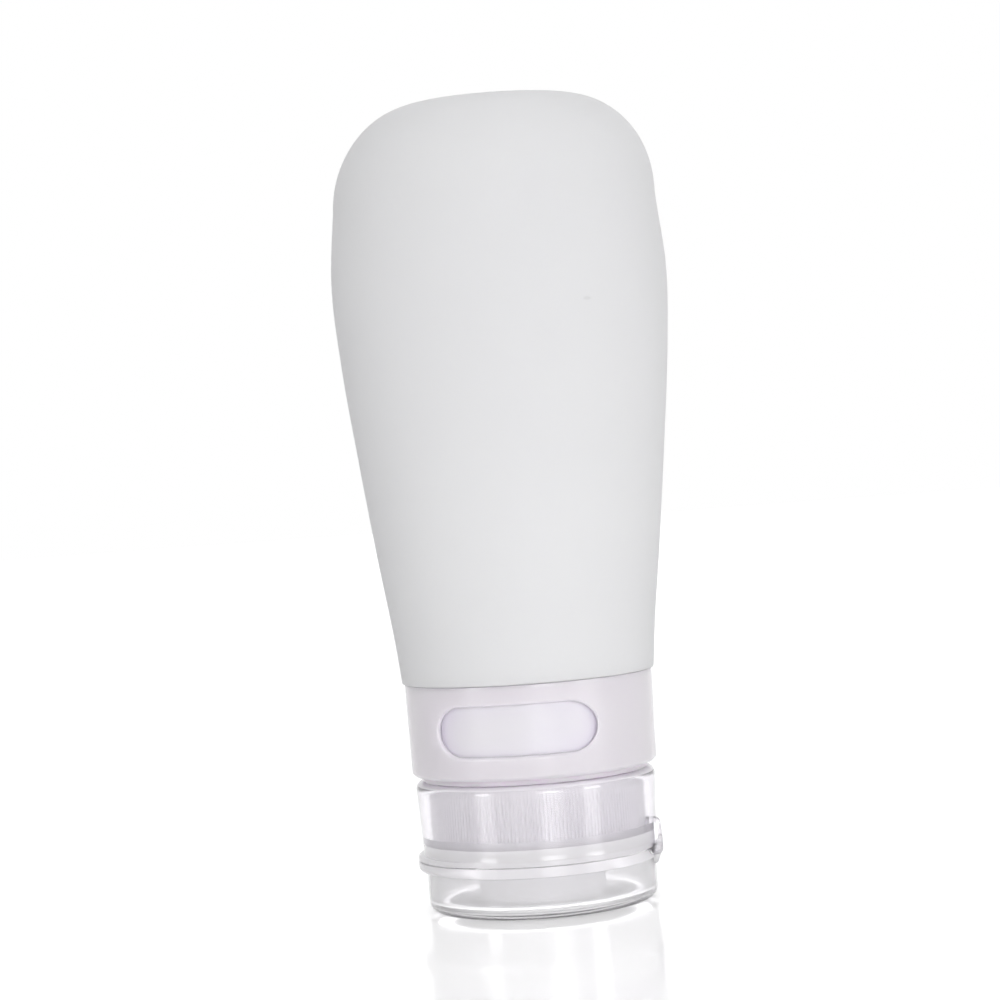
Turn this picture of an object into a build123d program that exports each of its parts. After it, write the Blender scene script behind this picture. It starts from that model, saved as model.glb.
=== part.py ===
from build123d import *
import os
from math import cos, radians, sin

os.makedirs("parts", exist_ok=True)

# A soft travel squeeze bottle that stands on its flip cap. +Z is up, and the origin is the middle of the lid's flat
# face. The lid's hinge is at +X and the label window faces -Y. Sizes are in millimetres and angles in degrees.

# Fits shared by several pieces
seat_clearance = 0.05
turn_clearance = 0.15
swing_clearance = 0.3
fold_clearance = 0.45
cut_overrun = 1.0

# Threaded neck, clamped in the mouth of the soft tube. Its root radius sets the size of the cap, lid and collar.
neck_root_radius = 12.2
neck_wall = 1.6
thread_height = 0.8
neck_flange_rise = 1.25
mouth_edge_radius = 0.4
sleeve_step = 0.2
sleeve_height = 8.9
sleeve_rib_height = 0.5
sleeve_rib_width = 1.4
sleeve_rib_lift = 3.6

# Flip lid: a shallow cup, closed at the bottom, with a thumb lip opposite the hinge
lid_height = 6.8
lid_draft = 0.25
lid_wall = 1.2
lid_floor = 1.3
lid_corner_radius = 1.3
lid_rim_radius = 0.3
lip_reach = 0.85
lip_half_angle = 60
lip_thickness = 1.3
lip_edge_radius = 0.55

# Hinge: one knuckle on the lid with two stub pins, which snap into two ears on the cap
hinge_inset = 0.25
knuckle_radius = 0.8
knuckle_width = 7.2
knuckle_fairing_drop = 2.5
ear_width = 2.2
ear_fairing_height = 4.3
ear_face_height = 1.6
ear_edge_radius = 0.6
hinge_pin_radius = 0.4
hinge_pin_length = 1.7
hinge_pin_clearance = 0.05

# Cap base: an outer skirt over an inner threaded skirt, joined by the deck that carries the spout
split_gap = 0.15
base_height = 10.35
base_draft = 0.45
base_wall = 1.2
base_rim_radius = 1.1
base_flange_thickness = 0.7
deck_recess = 0.35
deck_thickness = 1.3
inner_skirt_wall = 0.95
inner_skirt_setback = 0.8
skirt_gap = 0.15
rib_count = 190
rib_height = 0.16
rib_root = 0.05
rib_band_height = 6.6
rib_band_lift = 0.5
spout_radius = 7.2
spout_wall = 1.0
spout_drop = 3.7
orifice_radius = 3.0
valve_rim_wall = 0.8
valve_rim_height = 2.3

# Closure of the spout, on the lid
plug_clearance = 0.3
plug_bore_radius = 1.8
plug_engagement = 0.7
guard_clearance = 0.4
guard_wall = 0.85
guard_engagement = 1.4

# Slit valve and the ring that holds it
valve_radius = 8.2
valve_flange_thickness = 0.9
valve_skin = 0.5
valve_dome_clearance = 0.35
valve_dome_depth = 1.4
slit_length = 6.0
slit_width = 0.15
retainer_thickness = 1.0
retainer_bore_radius = 6.2

# Gasket between the neck's mouth and the deck
gasket_thickness = 1.2
gasket_width = 3.0

# Collar that turns round the neck, with its label window, and the label ring behind it
collar_gap = 0.8
collar_height = 12.2
collar_draft = 0.2
collar_wall = 1.25
collar_edge_radius = 0.35
collar_chamfer = 0.4
collar_bead_height = 0.45
collar_bead_width = 0.9
window_width = 20.5
window_height = 6.5
window_lift = 6.35
window_turn = 8.6
window_chamfer = 0.25
label_ring_wall = 0.9
label_gap = 0.25

# Soft tube: round at the collar, oval and wide towards its closed end
tube_neck_wall = 1.95
tube_wall = 1.9
tube_height = 76.5
tube_half_width = 22.3
tube_half_depth = 18.4
tube_overhang = 0.3
tube_foot_radius = 1.1
crown_height = 13.65
crown_reach = 12.6
# (share of the height below the crown, share of the way from the foot's radius to the widest)
tube_side_shares = [(0.0, 0.0), (0.08, 0.09), (0.26, 0.36), (0.48, 0.66), (0.68, 0.90), (0.84, 1.0), (1.0, 0.89)]
crown_angles = (22, 42, 60, 76, 90)

# Heights
base_foot_z = lid_height + split_gap
deck_foot_z = base_foot_z + deck_recess
deck_top_z = deck_foot_z + deck_thickness
base_rim_z = base_foot_z + base_height
mouth_z = deck_top_z + gasket_thickness + 2 * seat_clearance
collar_foot_z = base_rim_z + collar_gap
collar_rim_z = collar_foot_z + collar_height
neck_flange_foot_z = base_rim_z + turn_clearance
neck_flange_top_z = collar_foot_z + neck_flange_rise
tube_neck_foot_z = neck_flange_top_z + seat_clearance
tube_foot_z = collar_rim_z + turn_clearance
tube_top_z = tube_foot_z + tube_height
crown_foot_z = tube_top_z - crown_height
spout_end_z = deck_foot_z - spout_drop
hinge_z = lid_height + split_gap / 2

# Radii and places that follow from the neck and the fits
neck_bore_radius = neck_root_radius - neck_wall
sleeve_radius = neck_root_radius - sleeve_step
cap_bore_radius = neck_root_radius + thread_height + turn_clearance
inner_skirt_radius = cap_bore_radius + inner_skirt_wall
base_foot_radius = inner_skirt_radius + skirt_gap + base_wall
base_radius = base_foot_radius + base_draft
lid_radius = base_foot_radius
hinge_x = lid_radius - hinge_inset
valve_rim_radius = valve_radius + seat_clearance
valve_dome_radius = spout_radius - spout_wall - valve_dome_clearance
tube_neck_bore_radius = sleeve_radius + seat_clearance
tube_neck_radius = tube_neck_bore_radius + tube_neck_wall
label_ring_inner_radius = tube_neck_radius + seat_clearance
label_ring_radius = label_ring_inner_radius + label_ring_wall
collar_inner_radius = label_ring_radius + label_gap
collar_radius = collar_inner_radius + collar_wall
neck_flange_radius = collar_inner_radius - turn_clearance
foot_radius = collar_radius + tube_overhang
hinge_face_x = hinge_x + knuckle_radius
ear_inner_y = knuckle_width / 2 + swing_clearance
ear_top_z = hinge_z + ear_fairing_height
ear_top_x = base_foot_radius + base_draft * (ear_top_z - base_foot_z) / (base_height - base_rim_radius)
# The thumb lip's circle stands out from the lid's rim as a crescent at -X, and meets the rim at the lip's half angle
lip_tip_radius = lid_radius + lip_reach
lip_offset = (lip_tip_radius**2 - lid_radius**2) / 2 / (lip_tip_radius - lid_radius * cos(radians(lip_half_angle)))
lip_radius = lip_tip_radius - lip_offset


# Thumb lip of the lid, a disc with its low edge rounded, and the thinner one that carries it on above the split
with BuildPart() as lid_lip:
    with BuildSketch(Plane.XY.offset(lid_height - lip_thickness)):
        with Locations((-lip_offset, 0)):
            Circle(lip_radius)
    extrude(amount=lip_thickness)
    fillet(lid_lip.edges().group_by(Axis.Z)[0], lip_edge_radius)
with BuildPart() as base_lip:
    with BuildSketch(Plane.XY.offset(base_foot_z)):
        with Locations((-lip_offset, 0)):
            Circle(lip_radius)
    extrude(amount=base_flange_thickness)
    fillet(base_lip.edges().group_by(Axis.Z)[-1], lip_edge_radius)

# Flip lid
plug_radius = orifice_radius - plug_clearance
guard_inner_radius = spout_radius + guard_clearance
with BuildPart() as flip_lid:
    with BuildSketch(Plane.XZ) as lid_section:
        Polygon((0, 0), (lid_radius - lid_draft, 0), (lid_radius, lid_height), (0, lid_height))
        fillet(lid_section.vertices().sort_by_distance((lid_radius, 0))[0], lid_corner_radius)
        fillet(lid_section.vertices().sort_by_distance((lid_radius, lid_height))[0], lid_rim_radius)
    revolve(axis=Axis.Z)
    add(lid_lip.part)
    # Hollow
    with BuildSketch(Plane.XZ):
        Polygon((0, lid_floor), (lid_radius - lid_draft - lid_wall, lid_floor),
                (lid_radius - lid_wall, lid_height + cut_overrun), (0, lid_height + cut_overrun))
    revolve(axis=Axis.Z, mode=Mode.SUBTRACT)
    # Hollow plug that closes the spout, and the guard ring round the spout
    with BuildSketch(Plane.XY.offset(lid_floor)):
        Circle(plug_radius)
        Circle(plug_bore_radius, mode=Mode.SUBTRACT)
    extrude(amount=spout_end_z + plug_engagement - lid_floor)
    with BuildSketch(Plane.XY.offset(lid_floor)):
        Circle(guard_inner_radius + guard_wall)
        Circle(guard_inner_radius, mode=Mode.SUBTRACT)
    extrude(amount=spout_end_z + guard_engagement - lid_floor)
    # Room for the cap's ears, then the knuckle, its fairing and its stub pins
    for side in (-1, 1):
        with BuildSketch(Plane.XZ.offset(side * (ear_inner_y + ear_width / 2))):
            with Locations((hinge_x, hinge_z)):
                Circle(knuckle_radius + swing_clearance)
        extrude(amount=ear_width / 2 + swing_clearance, both=True, mode=Mode.SUBTRACT)
    with BuildSketch(Plane.XZ):
        with Locations((hinge_x, hinge_z)):
            Circle(knuckle_radius)
        Polygon((lid_radius - lid_wall, hinge_z), (hinge_face_x, hinge_z),
                (lid_radius - lid_draft, hinge_z - knuckle_fairing_drop),
                (lid_radius - lid_wall, hinge_z - knuckle_fairing_drop))
    extrude(amount=knuckle_width / 2, both=True)
    with BuildSketch(Plane.XZ):
        with Locations((hinge_x, hinge_z)):
            Circle(hinge_pin_radius)
    extrude(amount=knuckle_width / 2 + hinge_pin_length, both=True)
flip_lid.part.label = "flip_lid"

# Cap base
with BuildPart() as cap_base:
    with BuildSketch(Plane.XZ) as base_section:
        Polygon((0, base_foot_z), (base_foot_radius, base_foot_z),
                (base_radius, base_rim_z - base_rim_radius), (base_radius, base_rim_z), (0, base_rim_z))
        fillet(base_section.vertices().sort_by_distance((base_radius, base_rim_z))[0], base_rim_radius)
    revolve(axis=Axis.Z)
    add(base_lip.part)
    # Threaded bore, the groove between the two skirts, and the recess under the deck
    with BuildSketch(Plane.XZ):
        Polygon((0, deck_top_z), (cap_bore_radius, deck_top_z), (cap_bore_radius, base_rim_z + cut_overrun),
                (0, base_rim_z + cut_overrun))
        Polygon((inner_skirt_radius, deck_top_z), (base_foot_radius - base_wall, deck_top_z),
                (base_radius - base_wall, base_rim_z + cut_overrun),
                (inner_skirt_radius, base_rim_z + cut_overrun))
        Polygon((cap_bore_radius, base_rim_z - inner_skirt_setback),
                (inner_skirt_radius, base_rim_z - inner_skirt_setback),
                (inner_skirt_radius, base_rim_z + cut_overrun), (cap_bore_radius, base_rim_z + cut_overrun))
        Polygon((0, base_foot_z - cut_overrun), (base_foot_radius - base_wall, base_foot_z - cut_overrun),
                (base_foot_radius - base_wall, deck_foot_z), (0, deck_foot_z))
    revolve(axis=Axis.Z, mode=Mode.SUBTRACT)
    # Fine upright ribs on the inner skirt
    rib_valley_radius = inner_skirt_radius + rib_root
    with BuildSketch(Plane.XY.offset(deck_top_z + rib_band_lift)):
        Polygon([
            (radius * cos(radians(angle)), radius * sin(radians(angle)))
            for rib in range(rib_count)
            for angle, radius in (
                (rib * 360 / rib_count, rib_valley_radius),
                ((rib + 1 / 2) * 360 / rib_count, rib_valley_radius + rib_height),
            )
        ])
        Circle(inner_skirt_radius - inner_skirt_wall / 2, mode=Mode.SUBTRACT)
    extrude(amount=rib_band_height)
    # Two hinge ears, faired into the skirt above, with blind holes for the lid's pins
    for side in (-1, 1):
        with BuildSketch(Plane.XZ.offset(side * (ear_inner_y + ear_width / 2))) as ear_section:
            Polygon((base_foot_radius - base_wall, base_foot_z), (hinge_face_x, base_foot_z),
                    (hinge_face_x, hinge_z + ear_face_height), (ear_top_x, ear_top_z),
                    (ear_top_x - base_wall, ear_top_z))
            fillet(ear_section.vertices().sort_by_distance((hinge_face_x, hinge_z + ear_face_height))[0],
                   ear_edge_radius)
            with Locations((hinge_x, hinge_z)):
                Circle(knuckle_radius)
        extrude(amount=ear_width / 2, both=True)
    with BuildSketch(Plane.XZ):
        with Locations((hinge_x, hinge_z)):
            Circle(knuckle_radius + fold_clearance)
    extrude(amount=ear_inner_y, both=True, mode=Mode.SUBTRACT)
    with BuildSketch(Plane.XZ):
        with Locations((hinge_x, hinge_z)):
            Circle(hinge_pin_radius + hinge_pin_clearance)
    extrude(amount=knuckle_width / 2 + hinge_pin_length + hinge_pin_clearance, both=True, mode=Mode.SUBTRACT)
    # Spout and the rim of the valve's seat
    with BuildSketch(Plane.XZ):
        Polygon((0, spout_end_z), (spout_radius, spout_end_z), (spout_radius, deck_foot_z), (0, deck_foot_z))
        Polygon((valve_rim_radius, deck_top_z), (valve_rim_radius + valve_rim_wall, deck_top_z),
                (valve_rim_radius + valve_rim_wall, deck_top_z + valve_rim_height),
                (valve_rim_radius, deck_top_z + valve_rim_height))
    revolve(axis=Axis.Z)
    with BuildSketch(Plane.XZ):
        Polygon((0, spout_end_z - cut_overrun), (orifice_radius, spout_end_z - cut_overrun),
                (orifice_radius, spout_end_z + spout_wall), (spout_radius - spout_wall, spout_end_z + spout_wall),
                (spout_radius - spout_wall, deck_top_z + cut_overrun), (0, deck_top_z + cut_overrun))
    revolve(axis=Axis.Z, mode=Mode.SUBTRACT)
cap_base.part.label = "cap_base"

# Slit valve: a clamped flange with a dished middle, cut crosswise
valve_foot_z = deck_top_z + seat_clearance
valve_top_z = valve_foot_z + valve_flange_thickness
valve_dome_z = valve_foot_z - valve_dome_depth
with BuildPart() as slit_valve:
    with BuildSketch(Plane.XZ):
        with BuildLine():
            Line((0, valve_dome_z + valve_skin), (0, valve_dome_z))
            TangentArc((0, valve_dome_z), (valve_dome_radius, valve_foot_z), tangent=(1, 0))
            Polyline((valve_dome_radius, valve_foot_z), (valve_radius, valve_foot_z), (valve_radius, valve_top_z),
                     (valve_dome_radius - valve_skin, valve_top_z), (valve_dome_radius - valve_skin, valve_foot_z))
            TangentArc((0, valve_dome_z + valve_skin), (valve_dome_radius - valve_skin, valve_foot_z), tangent=(1, 0))
        make_face()
    revolve(axis=Axis.Z)
    with BuildSketch(Plane.XY.offset(valve_dome_z - cut_overrun)):
        Rectangle(slit_length, slit_width)
        Rectangle(slit_width, slit_length)
    extrude(amount=valve_dome_depth + cut_overrun, mode=Mode.SUBTRACT)
slit_valve.part.label = "slit_valve"

# Ring pressed into the rim over the valve's flange
with BuildPart() as valve_retainer:
    with BuildSketch(Plane.XY.offset(valve_top_z + seat_clearance)):
        Circle(valve_radius)
        Circle(retainer_bore_radius, mode=Mode.SUBTRACT)
    extrude(amount=retainer_thickness)
    chamfer(valve_retainer.edges().group_by(Axis.Z)[-1].sort_by(SortBy.LENGTH)[0], retainer_thickness / 2)
valve_retainer.part.label = "valve_retainer"

# Gasket under the neck's mouth
gasket_radius = cap_bore_radius - turn_clearance
with BuildPart() as cap_gasket:
    with BuildSketch(Plane.XY.offset(deck_top_z + seat_clearance)):
        Circle(gasket_radius)
        Circle(gasket_radius - gasket_width, mode=Mode.SUBTRACT)
    extrude(amount=gasket_thickness)
    fillet(cap_gasket.edges(), gasket_thickness / 4)
cap_gasket.part.label = "cap_gasket"

# Threaded neck: the spout for the cap, the flange inside the collar, and the sleeve inside the tube's neck
sleeve_top_z = neck_flange_top_z + sleeve_height
sleeve_rib_z = neck_flange_top_z + sleeve_rib_lift
with BuildPart() as threaded_neck:
    with BuildSketch(Plane.XZ):
        Polygon(
            (neck_bore_radius, mouth_z), (neck_root_radius, mouth_z),
            (neck_root_radius, neck_flange_foot_z), (neck_flange_radius, neck_flange_foot_z),
            (neck_flange_radius, neck_flange_top_z),
            (sleeve_radius, neck_flange_top_z), (sleeve_radius, sleeve_rib_z),
            (sleeve_radius + sleeve_rib_height, sleeve_rib_z + sleeve_rib_width / 2),
            (sleeve_radius, sleeve_rib_z + sleeve_rib_width), (sleeve_radius, sleeve_top_z),
            (neck_bore_radius, sleeve_top_z),
        )
    revolve(axis=Axis.Z)
    fillet(threaded_neck.edges().group_by(Axis.Z)[0], mouth_edge_radius)
threaded_neck.part.label = "threaded_neck"

# Label ring round the tube's neck, seen through the collar's window
with BuildPart() as label_ring:
    with BuildSketch(Plane.XY.offset(tube_neck_foot_z + collar_bead_width + 2 * seat_clearance)):
        Circle(label_ring_radius)
        Circle(label_ring_inner_radius, mode=Mode.SUBTRACT)
    extrude(amount=collar_rim_z - tube_neck_foot_z - collar_bead_width - 2 * seat_clearance)
label_ring.part.label = "label_ring"

# Collar: a turned shell with a snap bead above the neck's flange and a round-ended window
collar_bead_z = neck_flange_top_z + seat_clearance
with BuildPart() as window_collar:
    with BuildSketch(Plane.XZ) as collar_section:
        Polygon((collar_inner_radius, collar_foot_z), (collar_radius - collar_draft, collar_foot_z),
                (collar_radius, collar_rim_z), (collar_inner_radius, collar_rim_z))
        fillet(collar_section.vertices().sort_by_distance((collar_radius, collar_rim_z))[0], collar_edge_radius)
        chamfer(collar_section.vertices().sort_by_distance((collar_radius, collar_foot_z))[0], collar_chamfer)
    revolve(axis=Axis.Z)
    with BuildSketch(Plane.XZ):
        Polygon((collar_inner_radius + collar_wall / 2, collar_bead_z),
                (collar_inner_radius, collar_bead_z),
                (collar_inner_radius - collar_bead_height, collar_bead_z + collar_bead_width / 2),
                (collar_inner_radius, collar_bead_z + collar_bead_width),
                (collar_inner_radius + collar_wall / 2, collar_bead_z + collar_bead_width))
    revolve(axis=Axis.Z)
    window_plane = Plane(
        origin=(0, 0, collar_foot_z + window_lift),
        x_dir=(cos(radians(window_turn)), -sin(radians(window_turn)), 0),
        z_dir=(-sin(radians(window_turn)), -cos(radians(window_turn)), 0),
    )
    with BuildSketch(window_plane):
        SlotOverall(window_width, window_height)
    extrude(amount=collar_radius + cut_overrun, mode=Mode.SUBTRACT)
    window_rim = window_collar.faces().filter_by(GeomType.CONE).sort_by(SortBy.AREA)[-1].inner_wires()
    chamfer(window_rim[0].edges(), window_chamfer)
window_collar.part.label = "window_collar"


def tube_sections(inset):
    """(height, half width, half depth) of the tube's oval sections, for a surface set in from the outside."""
    foot_z = tube_foot_z + inset
    side = [
        (
            foot_z + share * (crown_foot_z - foot_z),
            foot_radius + out * (tube_half_width - foot_radius) - inset,
            foot_radius + out * (tube_half_depth - foot_radius) - inset,
        )
        for share, out in tube_side_shares
    ]
    _, shoulder_width, shoulder_depth = side[-1]
    flat_share = 1 - crown_reach / tube_half_width
    for angle in crown_angles:
        crown_share = flat_share + (1 - flat_share) * cos(radians(angle))
        side.append((crown_foot_z + (crown_height - inset) * sin(radians(angle)),
                     shoulder_width * crown_share, shoulder_depth * crown_share))
    return side


# Hollow of the soft tube, with a rounded throat
with BuildPart() as tube_hollow:
    for height, half_width, half_depth in tube_sections(tube_wall):
        with BuildSketch(Plane.XY.offset(height)):
            Ellipse(half_width, half_depth)
    loft()
    fillet(tube_hollow.edges().group_by(Axis.Z)[0], tube_foot_radius)
    with BuildSketch(Plane.XZ):
        Polygon(
            (0, tube_neck_foot_z - cut_overrun), (tube_neck_bore_radius, tube_neck_foot_z - cut_overrun),
            (tube_neck_bore_radius, sleeve_rib_z - seat_clearance),
            (tube_neck_bore_radius + sleeve_rib_height, sleeve_rib_z + sleeve_rib_width / 2),
            (tube_neck_bore_radius, sleeve_rib_z + sleeve_rib_width + seat_clearance),
            (tube_neck_bore_radius, tube_foot_z + 2 * tube_wall), (0, tube_foot_z + 2 * tube_wall),
        )
    revolve(axis=Axis.Z)

# Soft tube
with BuildPart() as silicone_tube:
    for height, half_width, half_depth in tube_sections(0):
        with BuildSketch(Plane.XY.offset(height)):
            Ellipse(half_width, half_depth)
    loft()
    fillet(silicone_tube.edges().group_by(Axis.Z)[0], tube_foot_radius)
    with BuildSketch(Plane.XY.offset(tube_neck_foot_z)):
        Circle(tube_neck_radius)
    extrude(amount=tube_foot_z + tube_wall - tube_neck_foot_z)
    add(tube_hollow.part, mode=Mode.SUBTRACT)
silicone_tube.part.label = "silicone_tube"

for piece in (flip_lid, cap_base, slit_valve, valve_retainer, cap_gasket,
              threaded_neck, label_ring, window_collar, silicone_tube):
    export_step(piece.part, f"parts/{piece.part.label}.step")
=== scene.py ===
from math import cos, pi, radians

import bmesh
import bpy
import numpy as np
from mathutils import Matrix, Vector


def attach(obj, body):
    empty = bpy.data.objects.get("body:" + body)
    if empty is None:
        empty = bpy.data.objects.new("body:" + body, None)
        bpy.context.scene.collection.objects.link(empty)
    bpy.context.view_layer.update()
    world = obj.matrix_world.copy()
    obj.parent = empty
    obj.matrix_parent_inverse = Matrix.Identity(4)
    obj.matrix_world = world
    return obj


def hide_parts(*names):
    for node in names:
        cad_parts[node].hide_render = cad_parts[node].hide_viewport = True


# A soft travel bottle that stands on its flip cap, in the CAD's frame. The pieces' own sizes are in
# millimetres. Those of the studio, the finishes and the mould mark are in metres.

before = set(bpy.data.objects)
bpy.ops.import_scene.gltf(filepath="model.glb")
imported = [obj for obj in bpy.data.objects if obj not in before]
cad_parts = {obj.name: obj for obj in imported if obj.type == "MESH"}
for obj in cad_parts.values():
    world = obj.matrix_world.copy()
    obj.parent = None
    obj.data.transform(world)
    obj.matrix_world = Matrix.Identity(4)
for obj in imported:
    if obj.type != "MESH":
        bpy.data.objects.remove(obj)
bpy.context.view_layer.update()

mm = 0.001
around = 256             # columns round a turned piece
arcSteps = 7             # points along a rounded corner
smallRounding = 0.28     # below it a corner keeps three points
sameRadius = 0.01        # a point this near to a wall's radius lies on the wall
nearlyOne = 0.999999     # cosine of two sides in line
tiny = 1e-9              # keeps a divisor off zero
mergeDistance = 2e-6     # metres
sharpAngle = 34          # degrees, above which an edge is shaded sharp


# Shapes

def eased(share):
    # 3 t^2 - 2 t^3, which starts and ends level
    return share * share * (3 - 2 * share)


def smoothThrough(x, knots, values):
    # A cubic piece between each two knots, whose slope at a knot is the mean of the slopes on its two sides,
    # where the shorter side counts for more.
    knots, values = np.asarray(knots, float), np.asarray(values, float)
    slopes = np.gradient(values, knots)
    start = np.clip(np.searchsorted(knots, x) - 1, 0, len(knots) - 2)
    end = start + 1
    span = knots[end] - knots[start]
    t = (x - knots[start]) / span
    return ((2 * t**3 - 3 * t**2 + 1) * values[start] + (t**3 - 2 * t**2 + t) * span * slopes[start]
            + (3 * t**2 - 2 * t**3) * values[end] + (t**3 - t**2) * span * slopes[end])


def roundedOutline(corners, closed=True):
    # corners holds (radius, height, rounding). Each corner gives way to an arc of its rounding, tangent to
    # both sides: the arc's points turn evenly from one tangent point to the other about the arc's centre. A
    # small arc keeps only its two ends and its middle.
    corners = np.array(corners, float)
    place, rounding = corners[:, :2], np.maximum(corners[:, 2], tiny)
    back, ahead = np.roll(place, 1, 0) - place, np.roll(place, -1, 0) - place
    back /= np.linalg.norm(back, axis=1, keepdims=True)
    ahead /= np.linalg.norm(ahead, axis=1, keepdims=True)
    half = np.arccos(np.clip((back * ahead).sum(1), -nearlyOne, nearlyOne)) / 2
    reach = (rounding / np.tan(half))[:, None]
    middle = back + ahead
    middle /= np.maximum(np.linalg.norm(middle, axis=1, keepdims=True), tiny)
    centre = place + middle * (rounding / np.sin(half))[:, None]
    start, end = place + back * reach - centre, place + ahead * reach - centre
    sweep = (pi - 2 * half)[:, None, None]
    share = np.linspace(0, 1, arcSteps)[None, :, None]
    turning = np.sin((1 - share) * sweep) * start[:, None] + np.sin(share * sweep) * end[:, None]
    arcs = centre[:, None] + turning / np.sin(sweep)
    if not closed:      # the two ends stay where they are
        arcs[0], arcs[-1] = place[0], place[-1]
    kept = np.ones((len(corners), arcSteps), dtype=bool)
    kept[rounding < smallRounding] = np.isin(np.arange(arcSteps), (0, arcSteps // 2, arcSteps - 1))
    return arcs[kept]


def spaced(outline, step):
    # Adds points along a closed outline, at even shares of each side, so that no two neighbours are further
    # apart than the step.
    ends = np.vstack([outline, outline[:1]])
    sides = np.linalg.norm(np.diff(ends, axis=0), axis=1)
    counts = np.maximum(np.ceil(sides / step).astype(int), 1)
    index = np.repeat(np.arange(len(counts)), counts)
    share = (np.arange(len(index)) - np.repeat(np.cumsum(counts) - counts, counts)) / counts[index]
    return ends[index] + (ends[index + 1] - ends[index]) * share[:, None]


def turned(outline, columns=around):
    # A grid of (outline point, angle): the outline's radius and height carried round the Z axis.
    angle = np.linspace(0, 2 * pi, columns, endpoint=False)
    radius, height = outline[:, 0, None], outline[:, 1, None]
    return np.stack([radius * np.cos(angle), radius * np.sin(angle), height + 0 * angle], axis=-1)


def quads(rows, columns, closeRows, closeColumns):
    # Four neighbours on the grid make a face, and a closed way goes back to its first line of points.
    row, column = np.meshgrid(np.arange(rows if closeRows else rows - 1),
                              np.arange(columns if closeColumns else columns - 1), indexing="ij")
    row, column = row.ravel(), column.ravel()
    line, nextLine = row * columns, (row + 1) % rows * columns
    right = (column + 1) % columns
    return np.stack([line + column, nextLine + column, nextLine + right, line + right], axis=1)


def piece(name, grids, material, body):
    # grids holds (points, closed along rows, closed along columns) for each sheet. The sheets become one mesh
    # whose doubles are merged, with its faces turned outwards.
    points = np.concatenate([grid.reshape(-1, 3) for grid, _, _ in grids]) * mm
    starts = np.cumsum([0] + [grid.shape[0] * grid.shape[1] for grid, _, _ in grids])
    faces = np.concatenate([quads(*grid.shape[:2], closeRows, closeColumns) + start
                            for (grid, closeRows, closeColumns), start in zip(grids, starts)])
    mesh = bpy.data.meshes.new(name)
    mesh.vertices.add(len(points))
    mesh.vertices.foreach_set("co", points.ravel())
    mesh.loops.add(faces.size)
    mesh.loops.foreach_set("vertex_index", faces.ravel().astype(np.int32))
    mesh.polygons.add(len(faces))
    mesh.polygons.foreach_set("loop_start", np.arange(0, faces.size, 4, dtype=np.int32))
    mesh.update(calc_edges=True)
    merged = bmesh.new()
    merged.from_mesh(mesh)
    bmesh.ops.remove_doubles(merged, verts=merged.verts, dist=mergeDistance)
    bmesh.ops.dissolve_degenerate(merged, dist=mergeDistance / 2, edges=merged.edges)
    bmesh.ops.recalc_face_normals(merged, faces=merged.faces)
    merged.to_mesh(mesh)
    merged.free()
    mesh.polygons.foreach_set("use_smooth", np.ones(len(mesh.polygons), dtype=bool))
    mesh.set_sharp_from_angle(angle=radians(sharpAngle))
    mesh.materials.append(material)
    made = bpy.data.objects.new(name, mesh)
    bpy.context.scene.collection.objects.link(made)
    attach(made, body)
    return made


def faceMiddles(made):
    # Radius and height of the middle of each face
    middles = np.empty(len(made.data.polygons) * 3)
    made.data.polygons.foreach_get("center", middles)
    x, y, z = middles.reshape(-1, 3).T / mm
    return np.hypot(x, y), z


def finishFaces(made, finishes):
    # Each (mask, material) finishes the faces where the mask is true, over those before it.
    index = np.zeros(len(made.data.polygons), dtype=np.int32)
    for number, (mask, material) in enumerate(finishes, 1):
        made.data.materials.append(material)
        index[mask] = number
    made.data.polygons.foreach_set("material_index", index)


# Materials

def addNode(tree, kind, inputs, **settings):
    # inputs holds what goes into each of the node's sockets: another node's socket or a plain value.
    node = tree.nodes.new(kind)
    for name, value in settings.items():
        setattr(node, name, value)
    for name, value in inputs.items():
        if isinstance(value, bpy.types.NodeSocket):
            tree.links.new(value, node.inputs[name])
        else:
            node.inputs[name].default_value = value
    return node


def mathNode(tree, operation, *inputs):
    # The result of one sum, product or the like of its inputs
    return addNode(tree, "ShaderNodeMath", dict(enumerate(inputs)), operation=operation).outputs[0]


moulding = {"cloudDetail": 3, "cloudFrom": 0.35, "cloudTo": 0.68, "grainDetail": 2,
            "hairStretch": (60, 60, 2200),      # hair scratches are long round the piece and short along it
            "hairFrom": 0.6, "hairTo": 0.72}


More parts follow.
